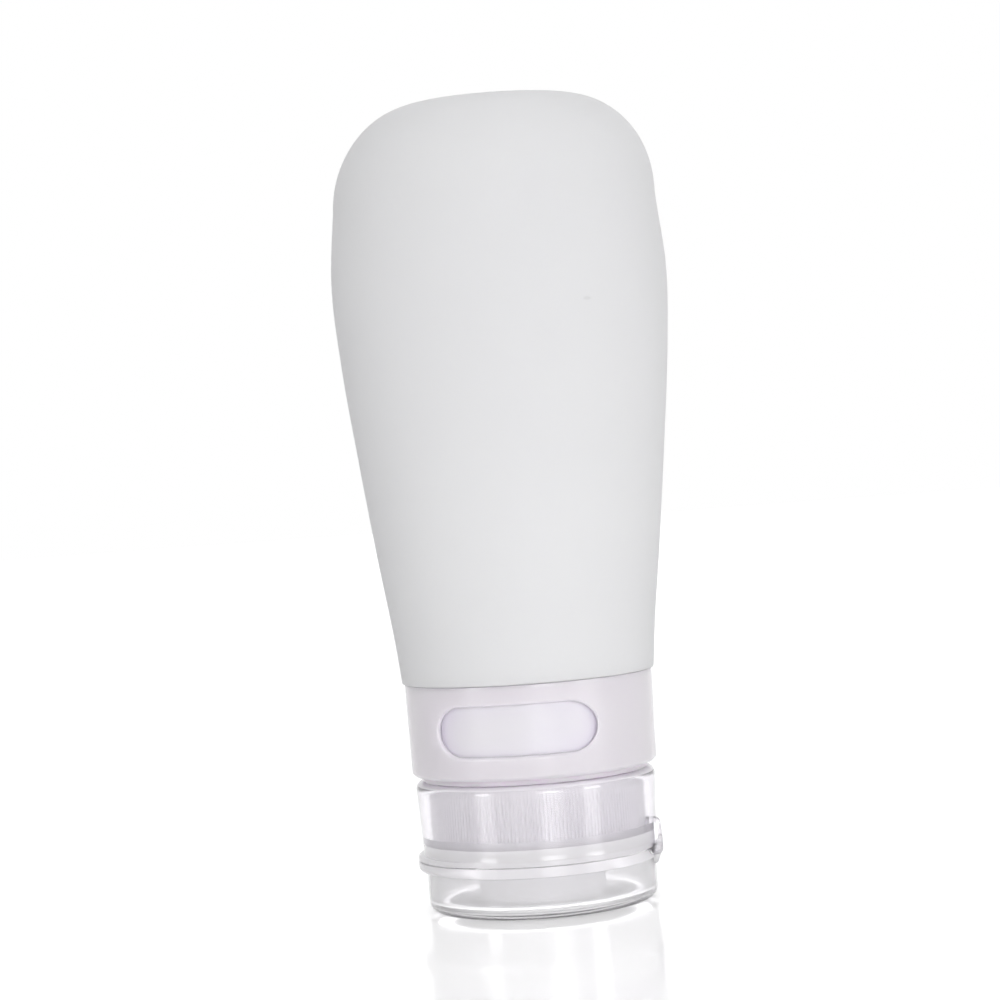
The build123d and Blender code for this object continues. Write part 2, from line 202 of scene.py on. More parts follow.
def buildMouldedFinish():
    # Moulded plastic and silicone: slow cloudy changes of colour, fine grain in the gloss, and hair scratches
    # that run mostly round the piece. The height is the grain's noise times Grain plus the hairs' share times
    # Scratches, and the roughness is Roughness plus that height.
    group = bpy.data.node_groups.new("mouldedFinish", "ShaderNodeTree")
    for label, kind, value in (
            ("Colour", "Color", (0.8, 0.8, 0.8, 1)), ("Cloud Colour", "Color", (0.7, 0.7, 0.7, 1)),
            ("Cloud Scale", "Float", 60.0), ("Roughness", "Float", 0.3), ("Grain Scale", "Float", 2500.0),
            ("Grain", "Float", 0.1), ("Scratches", "Float", 0.1)):
        socket = group.interface.new_socket(name=label, in_out="INPUT", socket_type="NodeSocket" + kind)
        socket.default_value = value
    for label, kind in (("Colour", "Color"), ("Roughness", "Float"), ("Height", "Float")):
        group.interface.new_socket(name=label, in_out="OUTPUT", socket_type="NodeSocket" + kind)
    given = group.nodes.new("NodeGroupInput").outputs
    place = addNode(group, "ShaderNodeTexCoord", {}).outputs["Object"]
    cloud = addNode(group, "ShaderNodeTexNoise", {
        "Vector": place, "Scale": given["Cloud Scale"], "Detail": moulding["cloudDetail"]})
    cloudShare = addNode(group, "ShaderNodeMapRange", {
        "Value": cloud.outputs["Fac"], "From Min": moulding["cloudFrom"], "From Max": moulding["cloudTo"]})
    tint = addNode(group, "ShaderNodeMix", {
        "Factor": cloudShare.outputs["Result"], "A": given["Colour"], "B": given["Cloud Colour"]},
        data_type="RGBA")
    grain = addNode(group, "ShaderNodeTexNoise", {
        "Vector": place, "Scale": given["Grain Scale"], "Detail": moulding["grainDetail"]})
    stretched = addNode(group, "ShaderNodeMapping", {"Vector": place, "Scale": moulding["hairStretch"]})
    hair = addNode(group, "ShaderNodeTexNoise", {"Vector": stretched.outputs["Vector"], "Scale": 1})
    hairShare = addNode(group, "ShaderNodeMapRange", {
        "Value": hair.outputs["Fac"], "From Min": moulding["hairFrom"], "From Max": moulding["hairTo"]})
    height = mathNode(group, "ADD", mathNode(group, "MULTIPLY", grain.outputs["Fac"], given["Grain"]),
                      mathNode(group, "MULTIPLY", hairShare.outputs["Result"], given["Scratches"]))
    roughness = mathNode(group, "ADD", given["Roughness"], height)
    addNode(group, "NodeGroupOutput", {
        "Colour": tint.outputs["Result"], "Roughness": roughness, "Height": height})
    return group


mouldedFinish = buildMouldedFinish()


def finishMaterial(name, look):
    # look holds the group's inputs under "finish", the shader's own sockets under "shader", the bump's two
    # values, and for some clear plastics a darker colour for their slanted edges: painted edge shade, partly
    # for their thickness.
    material = bpy.data.materials.new(name)
    material.use_nodes = True
    tree = material.node_tree
    shader = tree.nodes["Principled BSDF"]
    group = tree.nodes.new("ShaderNodeGroup")
    group.node_tree = mouldedFinish
    for label, value in look["finish"].items():
        group.inputs[label].default_value = (*value, 1) if isinstance(value, tuple) else value
    bump = addNode(tree, "ShaderNodeBump", {
        "Strength": look["bump"], "Distance": look["bumpDepth"], "Height": group.outputs["Height"]})
    colour = group.outputs["Colour"]
    if "edgeShadeColour" in look:      # painted edge shade: darker where the eye meets the plastic at a slant, partly for its thickness
        slant = addNode(tree, "ShaderNodeLayerWeight", {"Blend": look["edgeShadeBlend"]})
        edge = addNode(tree, "ShaderNodeMix", {
            "Factor": slant.outputs["Facing"], "A": colour, "B": (*look["edgeShadeColour"], 1)}, data_type="RGBA")
        colour = edge.outputs["Result"]
    tree.links.new(colour, shader.inputs["Base Color"])
    tree.links.new(group.outputs["Roughness"], shader.inputs["Roughness"])
    tree.links.new(bump.outputs["Normal"], shader.inputs["Normal"])
    for label, value in look["shader"].items():
        shader.inputs[label].default_value = value
    return material


siliconeLook = {
    "finish": {"Colour": (0.83, 0.83, 0.843), "Cloud Colour": (0.81, 0.81, 0.825), "Cloud Scale": 28.0,
               "Roughness": 0.55, "Grain Scale": 3200.0, "Grain": 0.12, "Scratches": 0.03},
    "shader": {"Subsurface Weight": 0.85, "Subsurface Radius": (1.0, 1.0, 1.0), "Subsurface Scale": 0.0022,
               "Specular IOR Level": 0.25, "IOR": 1.41},
    "bump": 0.25, "bumpDepth": 0.00006,
}
collarLook = {
    "finish": {"Colour": (0.9, 0.83, 0.965), "Cloud Colour": (0.905, 0.855, 0.955), "Cloud Scale": 45.0,
               "Roughness": 0.2, "Grain Scale": 1800.0, "Grain": 0.06, "Scratches": 0.03},
    "shader": {"Transmission Weight": 0.04, "IOR": 1.49, "Subsurface Weight": 0.9,
               "Subsurface Radius": (1.0, 1.0, 1.0), "Subsurface Scale": 0.002},
    "bump": 0.12, "bumpDepth": 0.00004,
}
labelLook = {
    "finish": {"Colour": (0.82, 0.79, 0.86), "Cloud Colour": (0.84, 0.82, 0.86), "Cloud Scale": 80.0,
               "Roughness": 0.32, "Grain Scale": 2400.0, "Grain": 0.1, "Scratches": 0.05},
    "shader": {"Subsurface Weight": 0.5, "Subsurface Radius": (1.0, 1.0, 1.0), "Subsurface Scale": 0.0008},
    "bump": 0.15, "bumpDepth": 0.00004,
}
neckLook = {
    "finish": {"Colour": (0.93, 0.79, 0.96), "Cloud Colour": (0.94, 0.82, 0.96), "Cloud Scale": 50.0,
               "Roughness": 0.16, "Grain Scale": 1800.0, "Grain": 0.05, "Scratches": 0.06},
    "shader": {"IOR": 1.49, "Subsurface Weight": 0.9, "Subsurface Radius": (1.0, 0.8, 1.0),
               "Subsurface Scale": 0.002},
    "bump": 0.1, "bumpDepth": 0.00004,
}
hazyLook = {
    "finish": {"Colour": (0.95, 0.935, 0.96), "Cloud Colour": (0.93, 0.91, 0.945), "Cloud Scale": 40.0,
               "Roughness": 0.06, "Grain Scale": 1600.0, "Grain": 0.05, "Scratches": 0.03},
    "shader": {"Transmission Weight": 0.75, "IOR": 1.49},
    # the darker edge colour is painted edge shade on the slanted sides, partly standing for thicker plastic
    "bump": 0.1, "bumpDepth": 0.00004, "edgeShadeColour": (0.62, 0.605, 0.655), "edgeShadeBlend": 0.5,
}
cloudyLook = {
    "finish": {"Colour": (0.96, 0.94, 0.97), "Cloud Colour": (0.94, 0.915, 0.955), "Cloud Scale": 60.0,
               "Roughness": 0.32, "Grain Scale": 1600.0, "Grain": 0.05, "Scratches": 0.03},
    "shader": {"Transmission Weight": 0.1, "IOR": 1.49},
    "bump": 0.1, "bumpDepth": 0.00004,
}
rimLook = {
    "finish": {"Colour": (0.94, 0.925, 0.95), "Cloud Colour": (0.92, 0.90, 0.935), "Cloud Scale": 60.0,
               "Roughness": 0.1, "Grain Scale": 1600.0, "Grain": 0.05, "Scratches": 0.03},
    "shader": {"Transmission Weight": 0.2, "IOR": 1.49},
    "bump": 0.1, "bumpDepth": 0.00004,
}
lidLook = {
    "finish": {"Colour": (0.955, 0.95, 0.96), "Cloud Colour": (0.935, 0.93, 0.945), "Cloud Scale": 40.0,
               "Roughness": 0.06, "Grain Scale": 1600.0, "Grain": 0.05, "Scratches": 0.03},
    "shader": {"Transmission Weight": 0.4, "IOR": 1.49},
    # the darker edge colour is painted edge shade on the slanted sides, partly standing for thicker plastic
    "bump": 0.1, "bumpDepth": 0.00004, "edgeShadeColour": (0.60, 0.59, 0.61), "edgeShadeBlend": 0.5,
}
clearLook = {
    "finish": {"Colour": (0.92, 0.915, 0.925), "Cloud Colour": (0.90, 0.89, 0.91), "Cloud Scale": 40.0,
               "Roughness": 0.05, "Grain Scale": 1600.0, "Grain": 0.04, "Scratches": 0.03},
    "shader": {"Transmission Weight": 1.0, "IOR": 1.49},
    "bump": 0.08, "bumpDepth": 0.00004,
}
sealLook = {
    "finish": {"Colour": (0.84, 0.84, 0.85), "Cloud Colour": (0.80, 0.80, 0.81), "Cloud Scale": 90.0,
               "Roughness": 0.45, "Grain Scale": 2600.0, "Grain": 0.1, "Scratches": 0.02},
    "shader": {"Subsurface Weight": 0.6, "Subsurface Radius": (1.0, 1.0, 1.0), "Subsurface Scale": 0.001},
    "bump": 0.2, "bumpDepth": 0.00004,
}

# The tiny oval that the mould leaves on the front of the silicone. It is gone at the first share of its half
# size and full from the second inwards.
mark = {"place": (0.0109, -0.0148, 0.0787), "halfSize": (0.0006, 0.004, 0.00028), "fadeShares": (1.2, 0.5),
        "colour": (0.76, 0.76, 0.77, 1)}


def addMouldMark(material):
    # The place in the mark's own frame, where its half size is 1, gives the distance that sets the tint.
    tree = material.node_tree
    baseColour = tree.nodes["Principled BSDF"].inputs["Base Color"]
    place = addNode(tree, "ShaderNodeTexCoord", {}).outputs["Object"]
    fromMark = addNode(tree, "ShaderNodeMapping", {
        "Vector": place, "Location": mark["place"], "Scale": mark["halfSize"]}, vector_type="TEXTURE")
    away = addNode(tree, "ShaderNodeVectorMath", {0: fromMark.outputs["Vector"]}, operation="LENGTH")
    share = addNode(tree, "ShaderNodeMapRange", {
        "Value": away.outputs["Value"], "From Min": mark["fadeShares"][0], "From Max": mark["fadeShares"][1]},
        interpolation_type="SMOOTHSTEP")
    tint = addNode(tree, "ShaderNodeMix", {
        "Factor": share.outputs["Result"], "A": baseColour.links[0].from_socket, "B": mark["colour"]},
        data_type="RGBA")
    tree.links.new(tint.outputs["Result"], baseColour)


silicone = finishMaterial("milkySilicone", siliconeLook)
addMouldMark(silicone)
lavenderPlastic = finishMaterial("lavenderPlastic", collarLook)
labelPlastic = finishMaterial("labelPlastic", labelLook)
violetPlastic = finishMaterial("violetPlastic", neckLook)
hazyPlastic = finishMaterial("hazyPlastic", hazyLook)
cloudyPlastic = finishMaterial("cloudyPlastic", cloudyLook)
clearPlastic = finishMaterial("clearPlastic", clearLook)
rimPlastic = finishMaterial("rimPlastic", rimLook)
lidPlastic = finishMaterial("lidPlastic", lidLook)
sealRubber = finishMaterial("sealRubber", sealLook)
print("materials built")


# Silicone tube

tube = {
    "foot": 30.36, "crownFoot": 93.3, "top": 106.75, "leanFoot": 89.0, "neckFoot": 19.4,      # heights
    "footRadius": 16.75, "halfWidth": 22.3, "halfDepth": 18.4, "neckRadius": 14.0, "boreRadius": 12.05,
    "crownReach": 12.2, "crownLean": 0.5, "wall": 1.9,
    "footRounding": 0.18, "neckRounding": 0.3, "boreRounding": 0.5, "insideBevel": 0.6, "bevelRounding": 0.3,
    "sideRows": 90, "crownRows": 40, "topRows": 14, "footRows": 9,
    # share of the height below the crown, share of the way from the foot's radius to the widest
    "sideShares": [(0.0, 0.0), (0.08, 0.09), (0.26, 0.36), (0.48, 0.66), (0.68, 0.90), (0.84, 0.995),
                   (1.0, 0.84)],
}


def tubeSide(inset):
    # Rows of (half width, half depth, height) from the foot up to the closed end. Below the crown the widths
    # follow the named shares. Over the crown they close in on a quarter ellipse, and then lie flat to the
    # middle.
    shares = np.linspace(0, 1, tube["sideRows"])
    out = smoothThrough(shares, *zip(*tube["sideShares"]))
    wide = tube["footRadius"] + out * (tube["halfWidth"] - tube["footRadius"]) - inset
    deep = tube["footRadius"] + out * (tube["halfDepth"] - tube["footRadius"]) - inset
    foot = tube["foot"] + inset
    low = np.stack([wide, deep, foot + shares * (tube["crownFoot"] - foot)], axis=1)
    angle = np.linspace(0, pi / 2, tube["crownRows"])[1:]
    flat = 1 - tube["crownReach"] / tube["halfWidth"]
    over = flat + (1 - flat) * np.cos(angle)
    height = tube["crownFoot"] + (tube["top"] - tube["crownFoot"] - inset) * np.sin(angle)
    crown = np.stack([wide[-1] * over, deep[-1] * over, height], axis=1)
    inward = np.linspace(1, 0, tube["topRows"])[1:]
    flatTop = np.stack([wide[-1] * flat * inward, deep[-1] * flat * inward, height[-1] + 0 * inward], axis=1)
    return np.vstack([low, crown, flatTop])


def tubeGrid():
    # One path from the outer pole down the outside, under the shoulder, down the neck, up the bore and up the
    # inside to the inner pole, carried round an oval. The soft crown leans a little towards +X.
    foot, rounding, floor = tube["foot"], tube["footRounding"], tube["foot"] + tube["wall"]
    outside, inside = tubeSide(0)[::-1], tubeSide(tube["wall"])
    share = smoothThrough(np.array([rounding / (tube["crownFoot"] - foot)]), *zip(*tube["sideShares"]))[0]
    shoulderRadius = tube["footRadius"] + share * (tube["halfWidth"] - tube["footRadius"]) - rounding
    turn = np.linspace(0, pi / 2, tube["footRows"])
    shoulder = np.stack([shoulderRadius + rounding * np.cos(turn),
                         foot + rounding - rounding * np.sin(turn)], axis=1)
    below = roundedOutline([
        (shoulder[-1, 0], foot, 0), (tube["neckRadius"], foot, tube["neckRounding"]),
        (tube["neckRadius"], tube["neckFoot"], tube["neckRounding"]),
        (tube["boreRadius"], tube["neckFoot"], tube["neckRounding"]),
        (tube["boreRadius"], floor, tube["boreRounding"]),
        (inside[0, 0] - tube["insideBevel"], floor, tube["bevelRounding"]),
        (inside[0, 0], floor + tube["insideBevel"], 0)], closed=False)
    rounds = np.vstack([shoulder, below])[:, [0, 0, 1]]      # as deep as wide here
    rows = np.vstack([outside[outside[:, 2] > foot + rounding], rounds,
                      inside[inside[:, 2] > floor + tube["insideBevel"]]])
    angle = np.linspace(0, 2 * pi, around, endpoint=False)
    wide, deep, height = (rows[:, k, None] for k in range(3))
    rise = np.clip((height - tube["leanFoot"]) / (tube["top"] - tube["leanFoot"]), 0, 1)
    lean = tube["crownLean"] * eased(rise)
    return np.stack([wide * np.cos(angle) + lean, deep * np.sin(angle), height + 0 * angle], axis=-1)


siliconeTube = piece("siliconeTube", [(tubeGrid(), False, True)], silicone, "bottle")
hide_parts("silicone_tube")
print("silicone tube built")


# Threads of the neck and the cap

# halfWidth and flank are shares of the pitch
thread = {"pitch": 3.0, "height": 0.8, "halfWidth": 0.16, "flank": 0.1, "fade": 0.8}


def ridge(angle, height, phase):
    # 1 on the thread's crest and 0 between turns. The crest rises one pitch a turn, right-handed, and its
    # flanks ease in and out.
    away = np.abs((height / thread["pitch"] - angle / (2 * pi) - phase + 0.5) % 1 - 0.5)
    return eased(np.clip((thread["halfWidth"] + thread["flank"] - away) / thread["flank"], 0, 1))


def fadeBetween(height, low, high, run):
    # 1 between low and high, and 0 a run outside them.
    return np.clip((height - low) / run + 1, 0, 1) * np.clip((high - height) / run + 1, 0, 1)


# Threaded neck

neck = {"mouth": 9.9, "root": 12.2, "bore": 10.6, "flangeRadius": 15.05, "flangeFoot": 17.34,
        "flangeTop": 19.35, "sleeve": 12.0, "top": 28.25, "ribFoot": 22.95, "rib": 0.5, "ribWidth": 1.4,
        "threadLow": 11.4, "threadHigh": 16.6, "mouthRounding": 0.35, "endRounding": 0.3,
        "flangeRounding": 0.2, "crestRounding": 0.15, "cornerRounding": 0.1, "rowStep": 0.2}


def neckGrid():
    # The neck's section carried round, with the thread added to the radius of what faces outwards below the
    # flange.
    sleeve, bore, ribFoot, ribWidth = neck["sleeve"], neck["bore"], neck["ribFoot"], neck["ribWidth"]
    corner, end, flange = neck["cornerRounding"], neck["endRounding"], neck["flangeRounding"]
    outline = spaced(roundedOutline([
        (bore, neck["mouth"], neck["mouthRounding"]), (neck["root"], neck["mouth"], neck["mouthRounding"]),
        (neck["root"], neck["flangeFoot"], end), (neck["flangeRadius"], neck["flangeFoot"], flange),
        (neck["flangeRadius"], neck["flangeTop"], flange), (sleeve, neck["flangeTop"], corner),
        (sleeve, ribFoot, corner), (sleeve + neck["rib"], ribFoot + ribWidth / 2, neck["crestRounding"]),
        (sleeve, ribFoot + ribWidth, corner), (sleeve, neck["top"], end), (bore, neck["top"], end)]),
        neck["rowStep"])
    grid = turned(outline)
    radius, height = outline[:, 0, None], outline[:, 1, None]
    angle = np.arctan2(grid[..., 1], grid[..., 0])
    onRoot = (np.abs(radius - neck["root"]) < sameRadius) & (height < neck["flangeFoot"] - end)
    threaded = fadeBetween(height, neck["threadLow"], neck["threadHigh"], thread["fade"])
    crest = ridge(angle, height, 0) * thread["height"] * threaded
    grid[..., :2] *= (1 + onRoot * crest / radius)[..., None]
    return grid


threadedNeck = piece("threadedNeck", [(neckGrid(), True, True)], violetPlastic, "bottle")
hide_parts("threaded_neck")


# Label ring

label = {"inner": 14.05, "outer": 15.1, "foot": 20.4, "top": 30.3, "rounding": 0.15, "rowStep": 1.0}
labelCorners = [(label[side], label[end], label["rounding"])
                for side, end in (("inner", "foot"), ("outer", "foot"), ("outer", "top"), ("inner", "top"))]
labelGrid = turned(spaced(roundedOutline(labelCorners), label["rowStep"]))
labelRing = piece("labelRing", [(labelGrid, True, True)], labelPlastic, "bottle")
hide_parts("label_ring")
print("neck and label ring built")


# Window collar

collar = {"foot": 18.1, "top": 30.3, "footRadius": 16.25, "topRadius": 16.45, "inner": 15.2, "chamfer": 0.4,
          "windowHeight": 6.5, "windowWidth": 20.5, "windowMiddle": 24.45, "windowTurn": -8.6,
          "rim": 0.4, "rimDepth": 0.6,      # how wide the window's lip is rounded, and its share of the wall
          "patchHalfAngle": 52, "facingShare": 0.9, "crowding": 1.4, "topRounding": 0.12,
          "chamferRounding": 0.12, "innerRounding": 0.15, "footBand": 0.7, "topBand": 0.55,
          "rows": 24, "patchColumns": 61, "sideColumns": 180, "windowRows": 15, "rimRows": 6}


def collarGrids():
    # The window is cut straight through, so columns near it keep their x in the window's plane on both skins,
    # and the other columns share out the rest of the turn. Round the window a ring of points runs from the
    # window's rounded edge, at 0, to the patch's four sides, at 1. A plain sheet covers what is away from the
    # window.
    inner, middle = collar["inner"], collar["windowMiddle"]
    facing = -pi / 2 + radians(collar["windowTurn"])
    up = np.linspace(collar["foot"] + collar["footBand"], collar["top"] - collar["topBand"], collar["rows"])
    patchHalf = inner * np.sin(radians(collar["patchHalfAngle"]))
    across = patchHalf * np.sin(np.linspace(-pi / 2, pi / 2, collar["patchColumns"]))

    def skinRadius(z, depth):
        # depth is 0 on the outside and 1 on the inside
        rise = (z - collar["foot"]) / (collar["top"] - collar["foot"])
        outer = collar["footRadius"] + (collar["topRadius"] - collar["footRadius"]) * rise
        return outer * (1 - depth) + inner * depth

    def carried(radius, angle, z):
        turn = angle + facing
        return np.stack([radius * np.cos(turn), radius * np.sin(turn), z + 0 * turn], axis=-1)

    def sideAngles(radius):
        edge = np.arcsin(patchHalf / radius)
        return edge + (2 * pi - 2 * edge) * np.linspace(0, 1, collar["sideColumns"])

    def onSkin(x, z, depth):
        radius = skinRadius(z, depth)
        return carried(radius, np.arcsin(x / radius), z)

    # Patch outline, anticlockwise from the low corner: along the foot, up, back along the top and down
    level = np.ones(len(across) - 1)
    patchX = np.concatenate([across[:-1], patchHalf + 0 * up[:-1], -across[:-1], -patchHalf + 0 * up[:-1]])
    patchZ = np.concatenate([level * up[0], up[:-1], level * up[-1], up[:0:-1]]) - middle
    # The window's edge: the point on the rounded slot that faces each patch point
    bend = collar["windowHeight"] / 2
    run = collar["windowWidth"] / 2 - bend
    bendMiddle = np.clip(patchX * collar["facingShare"], -run, run)
    away = np.stack([patchX - bendMiddle, patchZ], axis=1)
    away /= np.linalg.norm(away, axis=1, keepdims=True)

    def slotEdge(grow):
        return bendMiddle + away[:, 0] * (bend + grow), away[:, 1] * (bend + grow)

    def ringSheet(depth, grow):
        x, z = slotEdge(grow)
        share = (np.linspace(0, 1, collar["windowRows"]) ** collar["crowding"])[:, None]
        return onSkin(x * (1 - share) + patchX * share, z * (1 - share) + patchZ * share + middle, depth)

    def wallRow(depth, grow):
        x, z = slotEdge(grow)
        return onSkin(x, z + middle, depth)

    # The wall of the window: its outer lip is rounded by a quarter turn
    quarter = np.linspace(0, pi / 2, collar["rimRows"])
    lipRows = [wallRow(depth, grow) for depth, grow in zip(collar["rimDepth"] * (1 - np.cos(quarter)),
                                                           collar["rim"] * (1 - np.sin(quarter)))]
    grids = [(ringSheet(0, collar["rim"]), False, True), (ringSheet(1, 0), False, True),
             (np.stack(lipRows + [wallRow(1.0, 0)]), False, True)]
    for depth in (0, 1):
        radius = skinRadius(up[:, None], depth)
        grids.append((carried(radius, sideAngles(radius), up[:, None]), False, False))
    # The two ends of the shell, rounded at the top and bevelled at the foot
    low, high = up[0], up[-1]
    footRadius, chamfer, foot, end = collar["footRadius"], collar["chamfer"], collar["foot"], collar["top"]
    top = roundedOutline([
        (skinRadius(high, 0), high, 0), (collar["topRadius"], end, collar["topRounding"]),
        (inner, end, collar["innerRounding"]), (inner, high, 0)], closed=False)
    under = roundedOutline([
        (skinRadius(low, 0), low, 0), (footRadius, foot + chamfer, collar["chamferRounding"]),
        (footRadius - chamfer, foot, collar["chamferRounding"]), (inner, foot, collar["innerRounding"]),
        (inner, low, 0)], closed=False)
    for outline in (top, under):
        radius, z = outline[:, 0, None], outline[:, 1, None]
        angle = np.concatenate([np.arcsin(across[:-1] / radius), sideAngles(radius)[:, :-1]], axis=1)
        grids.append((carried(radius, angle, z), False, True))
    return grids


windowCollar = piece("windowCollar", collarGrids(), lavenderPlastic, "collar")
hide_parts("window_collar")
print("collar built")


# Thumb lip and hinge room, which the cap and the lid share

lip = {"reach": 0.85, "halfAngle": 60}
hinge = {"x": 15.2, "z": 6.875, "knuckle": 0.8, "knuckleWidth": 7.2, "gap": 0.3, "earWidth": 2.2, "pin": 0.4,
         "pinLength": 1.7, "foldRoom": 1.25, "foldGap": 0.1, "swingRoom": 1.1}
knuckleEnd = hinge["knuckleWidth"] / 2
earInner = knuckleEnd + hinge["gap"]
earOuter = earInner + hinge["earWidth"]


def lipShare(angle, radius):
    # How far the thumb lip stands out, from 0 to 1: the gap between the round rim and a smaller circle set
    # towards -X that meets it at the half angle.
    reach, halfAngle = lip["reach"], radians(lip["halfAngle"])
    offset = reach * (2 * radius + reach) / (2 * (radius + reach - radius * cos(halfAngle)))
    size = radius + reach - offset
    edge = -offset * np.cos(angle) + np.sqrt(size**2 - (offset * np.sin(angle)) ** 2)
    return np.clip((edge - radius) / reach, 0, 1)


def lippedGrid(lipped, footRadius, slope, foot, columns):
    # The lip's full outline stands out where the lip does. Elsewhere its points are held back to the straight
    # wall, whose radius grows with its height by the slope, and at each angle the lip's share blends the two.
    plain = lipped.copy()
    plain[:, 0] = np.minimum(plain[:, 0], footRadius + slope * (plain[:, 1] - foot))
    grid, out = turned(plain, columns), turned(lipped, columns)
    share = lipShare(np.linspace(0, 2 * pi, columns, endpoint=False), cap["footRadius"])
    return grid + (out - grid) * share[None, :, None]


def hingeRoom(grid, room, nearest, farthest, side):
    # Where |y| lies between nearest and farthest, what comes nearer to the hinge's axis than the room is moved
    # straight up (side 1) or down (side -1) to the room's round.
    x, y, z = np.moveaxis(grid, -1, 0)
    reach = room**2 - (x - hinge["x"]) ** 2
    edge = hinge["z"] + side * np.sqrt(np.maximum(reach, 0))
    inRoom = (reach > 0) & (np.abs(y) >= nearest) & (np.abs(y) < farthest) & (side * (edge - z) > 0)
    grid[..., 2] = np.where(inRoom & (np.abs(z - hinge["z"]) < room), edge, z)


# Cap base

cap = {"foot": 6.95, "top": 17.3, "footRadius": 15.45, "topRadius": 15.9, "wall": 1.2, "rimRounding": 1.1,
       "flange": 0.7, "deckFoot": 7.3, "deckTop": 8.6, "bore": 13.15, "innerSkirt": 14.1, "innerTop": 16.5,
       "spoutEnd": 3.6, "spout": 7.2, "spoutWall": 1.0, "orifice": 3.0, "valveRim": 8.25, "valveRimWall": 0.8,
       "valveRimTop": 10.9, "threadLow": 11.0, "threadHigh": 15.2, "threadPhase": 0.5,
       "ribs": 190, "rib": 0.2, "ribLow": 9.0, "ribHigh": 15.6, "ribFade": 0.25, "ribColumns": 3,
       "rowStep": 0.75, "deckDraft": 0.02, "rimInset": 0.1, "lipRounding": 0.55, "spoutRounding": 0.5,
       "skirtRounding": 0.3, "rootRounding": 0.25, "edgeRounding": 0.2, "orificeRounding": 0.15,
       "cornerRounding": 0.1, "lipCorner": 0.05, "deckCorner": 0.03}
# How far each finish reaches past the wall, deck or rim that it belongs to
capFinish = {"wall": 0.45, "deck": 0.3, "skirt": 0.05, "rimShare": 0.5}


def capOutline():
    # The cap's section, anticlockwise from the hole's lower edge: the spout's outside, the shell and its lip,
    # the inner skirt, the valve's rim and the spout's inside
    lipRadius, flangeTop = cap["footRadius"] + lip["reach"], cap["foot"] + cap["flange"]
    shellInner, deckTop, deckFoot = cap["footRadius"] - cap["wall"], cap["deckTop"], cap["deckFoot"]
    spoutInner, spoutInside = cap["spout"] - cap["spoutWall"], cap["spoutEnd"] + cap["spoutWall"]
    valveRim, valveTop = cap["valveRim"], cap["valveRimTop"]
    valveOuter = valveRim + cap["valveRimWall"]
    corner, edge, skirt = cap["cornerRounding"], cap["edgeRounding"], cap["skirtRounding"]
    hole = cap["orificeRounding"]
    return roundedOutline([
        (cap["orifice"], cap["spoutEnd"], hole), (cap["spout"], cap["spoutEnd"], cap["spoutRounding"]),
        (cap["spout"], deckFoot, cap["rootRounding"]), (shellInner, deckFoot, corner),
        (shellInner, cap["foot"], corner), (lipRadius, cap["foot"], cap["lipCorner"]),
        (lipRadius, flangeTop, cap["lipRounding"]), (cap["footRadius"], flangeTop, cap["lipCorner"]),
        (cap["topRadius"], cap["top"] - cap["rimRounding"], edge),
        (cap["topRadius"], cap["top"], cap["rimRounding"] - cap["rimInset"]),
        (cap["topRadius"] - cap["wall"], cap["top"], corner),
        (shellInner + cap["deckDraft"], deckTop, cap["deckCorner"]),
        (cap["innerSkirt"], deckTop, cap["deckCorner"]),
        (cap["innerSkirt"], cap["innerTop"], skirt), (cap["bore"], cap["innerTop"], skirt),
        (cap["bore"], deckTop, edge), (valveOuter, deckTop, hole), (valveOuter, valveTop, edge),
        (valveRim, valveTop, edge), (valveRim, deckTop, corner), (spoutInner, deckTop, corner),
        (spoutInner, spoutInside, skirt), (cap["orifice"], spoutInside, hole)])


def capGrid():
    # The lipped section carried round. Fine upright ribs are added to the outside of the inner skirt, and the
    # thread is taken from its bore.
    columns = cap["ribs"] * cap["ribColumns"]
    outline = spaced(capOutline(), cap["rowStep"])
    slope = (cap["topRadius"] - cap["footRadius"]) / (cap["top"] - cap["rimRounding"] - cap["foot"])
    grid = lippedGrid(outline, cap["footRadius"], slope, cap["foot"], columns)
    angle = np.linspace(0, 2 * pi, columns, endpoint=False)
    radius, height = outline[:, 0, None], outline[:, 1, None]
    onSkirt = np.abs(radius - cap["innerSkirt"]) < sameRadius
    onBore = np.abs(radius - cap["bore"]) < sameRadius
    wave = 0.5 + 0.5 * np.cos(angle * cap["ribs"])
    ribs = cap["rib"] * wave * fadeBetween(height, cap["ribLow"], cap["ribHigh"], cap["ribFade"])
    threaded = fadeBetween(height, cap["threadLow"], cap["threadHigh"], thread["fade"])
    cut = ridge(angle[None, :], height, cap["threadPhase"]) * thread["height"] * threaded
    grid[..., :2] *= (1 + (onSkirt * ribs - onBore * cut) / radius)[..., None]
    hingeRoom(grid, hinge["foldRoom"], 0, earInner + hinge["foldGap"], 1)
    return grid


capBase = piece("capBase", [(capGrid(), True, True)], hazyPlastic, "cap")
# The outside is hazy from handling and the walls within are clear. The thick rim and flange are hazier, and
# the ribbed inner skirt and the spout are cloudy.
radius, height = faceMiddles(capBase)
within = radius < cap["footRadius"] - cap["wall"] + capFinish["wall"]
onSpoutAndSkirt = within & (radius < cap["innerSkirt"] + cap["rib"] + capFinish["skirt"])
rimFoot = cap["top"] - capFinish["rimShare"] * cap["rimRounding"]
thick = (height < cap["deckTop"] + capFinish["deck"]) | (height > rimFoot)
onRim = ~within & thick
finishFaces(capBase, [(within, clearPlastic), (onSpoutAndSkirt, cloudyPlastic), (onRim, rimPlastic)])
print("cap built")


# Hinge ears, knuckle and pins

